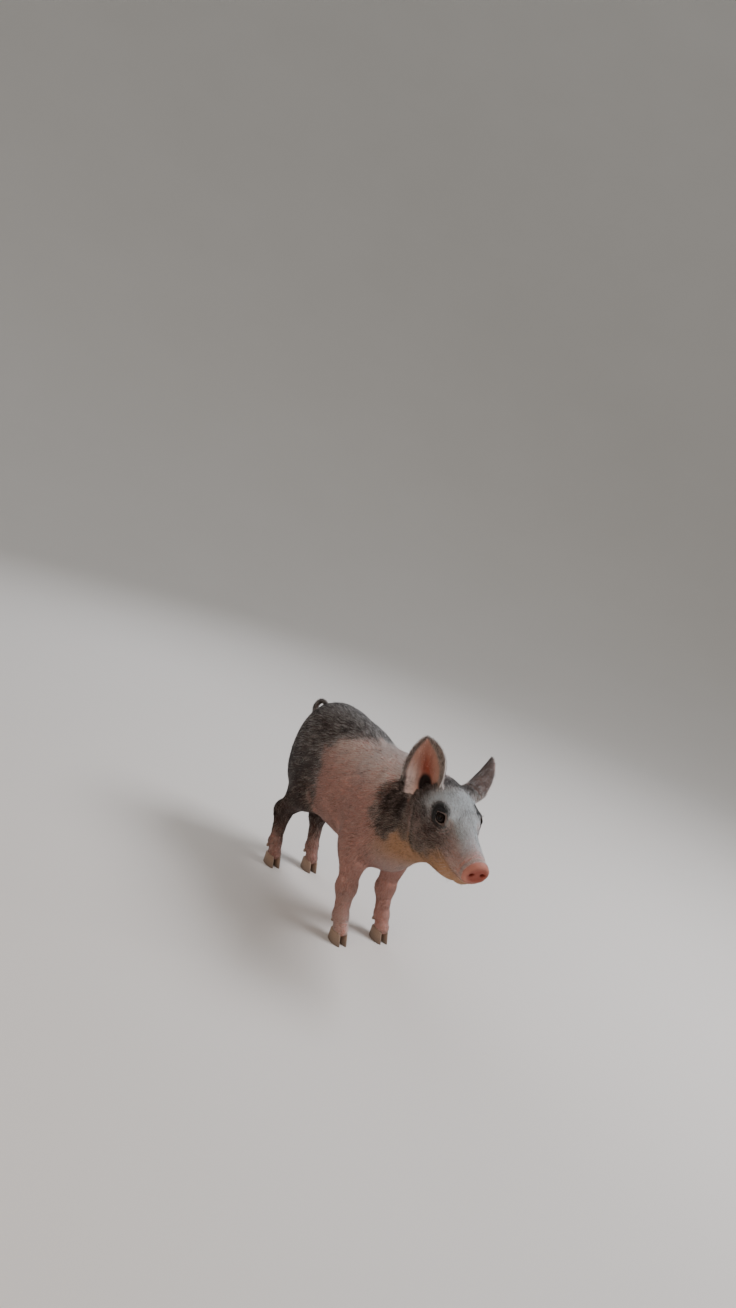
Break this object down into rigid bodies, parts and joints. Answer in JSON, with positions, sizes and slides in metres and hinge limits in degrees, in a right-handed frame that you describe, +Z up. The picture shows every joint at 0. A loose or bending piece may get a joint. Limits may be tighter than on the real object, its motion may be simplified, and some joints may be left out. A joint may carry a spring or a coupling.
{
  "type": "piglet figure",
  "caption": "Life-size still model of a young spotted pig standing on its four feet, head raised and turned to its right, ears pricked, tail curled.",
  "frame": {"origin": "middle of the animal's bounding box, on the floor that its claws stand on", "axes": "+X towards the snout along the spine, +Y to the animal's left, +Z up"},
  "size_m": [0.634, 0.1764, 0.4243],
  "materials": {
    "trunk": "pink skin under fine white hair",
    "neck": "slate-coloured skin under short white-tipped hair",
    "head": "slate-coloured skin under short white-tipped hair",
    "snout": "pink skin under fine white hair",
    "lower_jaw": "pink skin under fine white hair",
    "ear_left": "slate-coloured skin under short white-tipped hair",
    "ear_right": "slate-coloured skin under short white-tipped hair",
    "tail": "slate-coloured skin under short white-tipped hair",
    "fore_upper_left": "pink skin under fine white hair",
    "fore_upper_right": "pink skin under fine white hair",
    "fore_shank_left": "pink skin under fine white hair",
    "fore_shank_right": "pink skin under fine white hair",
    "fore_foot_left": "pink skin under fine white hair",
    "fore_foot_right": "pink skin under fine white hair",
    "hind_upper_left": "slate-coloured skin under short white-tipped hair",
    "hind_upper_right": "slate-coloured skin under short white-tipped hair",
    "hind_shank_left": "pink skin under fine white hair",
    "hind_shank_right": "pink skin under fine white hair",
    "hind_foot_left": "pink skin under fine white hair",
    "hind_foot_right": "pink skin under fine white hair",
    "fore_claw_inner_left": "horn, dull",
    "fore_claw_inner_right": "horn, dull",
    "fore_claw_outer_left": "horn, dull",
    "fore_claw_outer_right": "horn, dull",
    "fore_dewclaw_inner_left": "horn, dull",
    "fore_dewclaw_inner_right": "horn, dull",
    "fore_dewclaw_outer_left": "horn, dull",
    "fore_dewclaw_outer_right": "horn, dull",
    "hind_claw_inner_left": "horn, dull",
    "hind_claw_inner_right": "horn, dull",
    "hind_claw_outer_left": "horn, dull",
    "hind_claw_outer_right": "horn, dull",
    "hind_dewclaw_inner_left": "horn, dull",
    "hind_dewclaw_inner_right": "horn, dull",
    "hind_dewclaw_outer_left": "horn, dull",
    "hind_dewclaw_outer_right": "horn, dull",
    "eye_left": "wet dark eye",
    "eye_right": "wet dark eye"
  },
  "bodies": {
    "root": {"trunk": "trunk", "neck": "neck", "head": "head", "snout": "snout", "lower_jaw": "lower_jaw", "ear_left": "ear_left", "ear_right": "ear_right", "tail": "tail", "fore_upper_left": "fore_upper_left", "fore_upper_right": "fore_upper_right", "fore_shank_left": "fore_shank_left", "fore_shank_right": "fore_shank_right", "fore_foot_left": "fore_foot_left", "fore_foot_right": "fore_foot_right", "hind_upper_left": "hind_upper_left", "hind_upper_right": "hind_upper_right", "hind_shank_left": "hind_shank_left", "hind_shank_right": "hind_shank_right", "hind_foot_left": "hind_foot_left", "hind_foot_right": "hind_foot_right", "fore_claw_inner_left": "fore_claw_inner_left", "fore_claw_inner_right": "fore_claw_inner_right", "fore_claw_outer_left": "fore_claw_outer_left", "fore_claw_outer_right": "fore_claw_outer_right", "fore_dewclaw_inner_left": "fore_dewclaw_inner_left", "fore_dewclaw_inner_right": "fore_dewclaw_inner_right", "fore_dewclaw_outer_left": "fore_dewclaw_outer_left", "fore_dewclaw_outer_right": "fore_dewclaw_outer_right", "hind_claw_inner_left": "hind_claw_inner_left", "hind_claw_inner_right": "hind_claw_inner_right", "hind_claw_outer_left": "hind_claw_outer_left", "hind_claw_outer_right": "hind_claw_outer_right", "hind_dewclaw_inner_left": "hind_dewclaw_inner_left", "hind_dewclaw_inner_right": "hind_dewclaw_inner_right", "hind_dewclaw_outer_left": "hind_dewclaw_outer_left", "hind_dewclaw_outer_right": "hind_dewclaw_outer_right", "eye_left": "eye_left", "eye_right": "eye_right"}
  },
  "joints": []
}
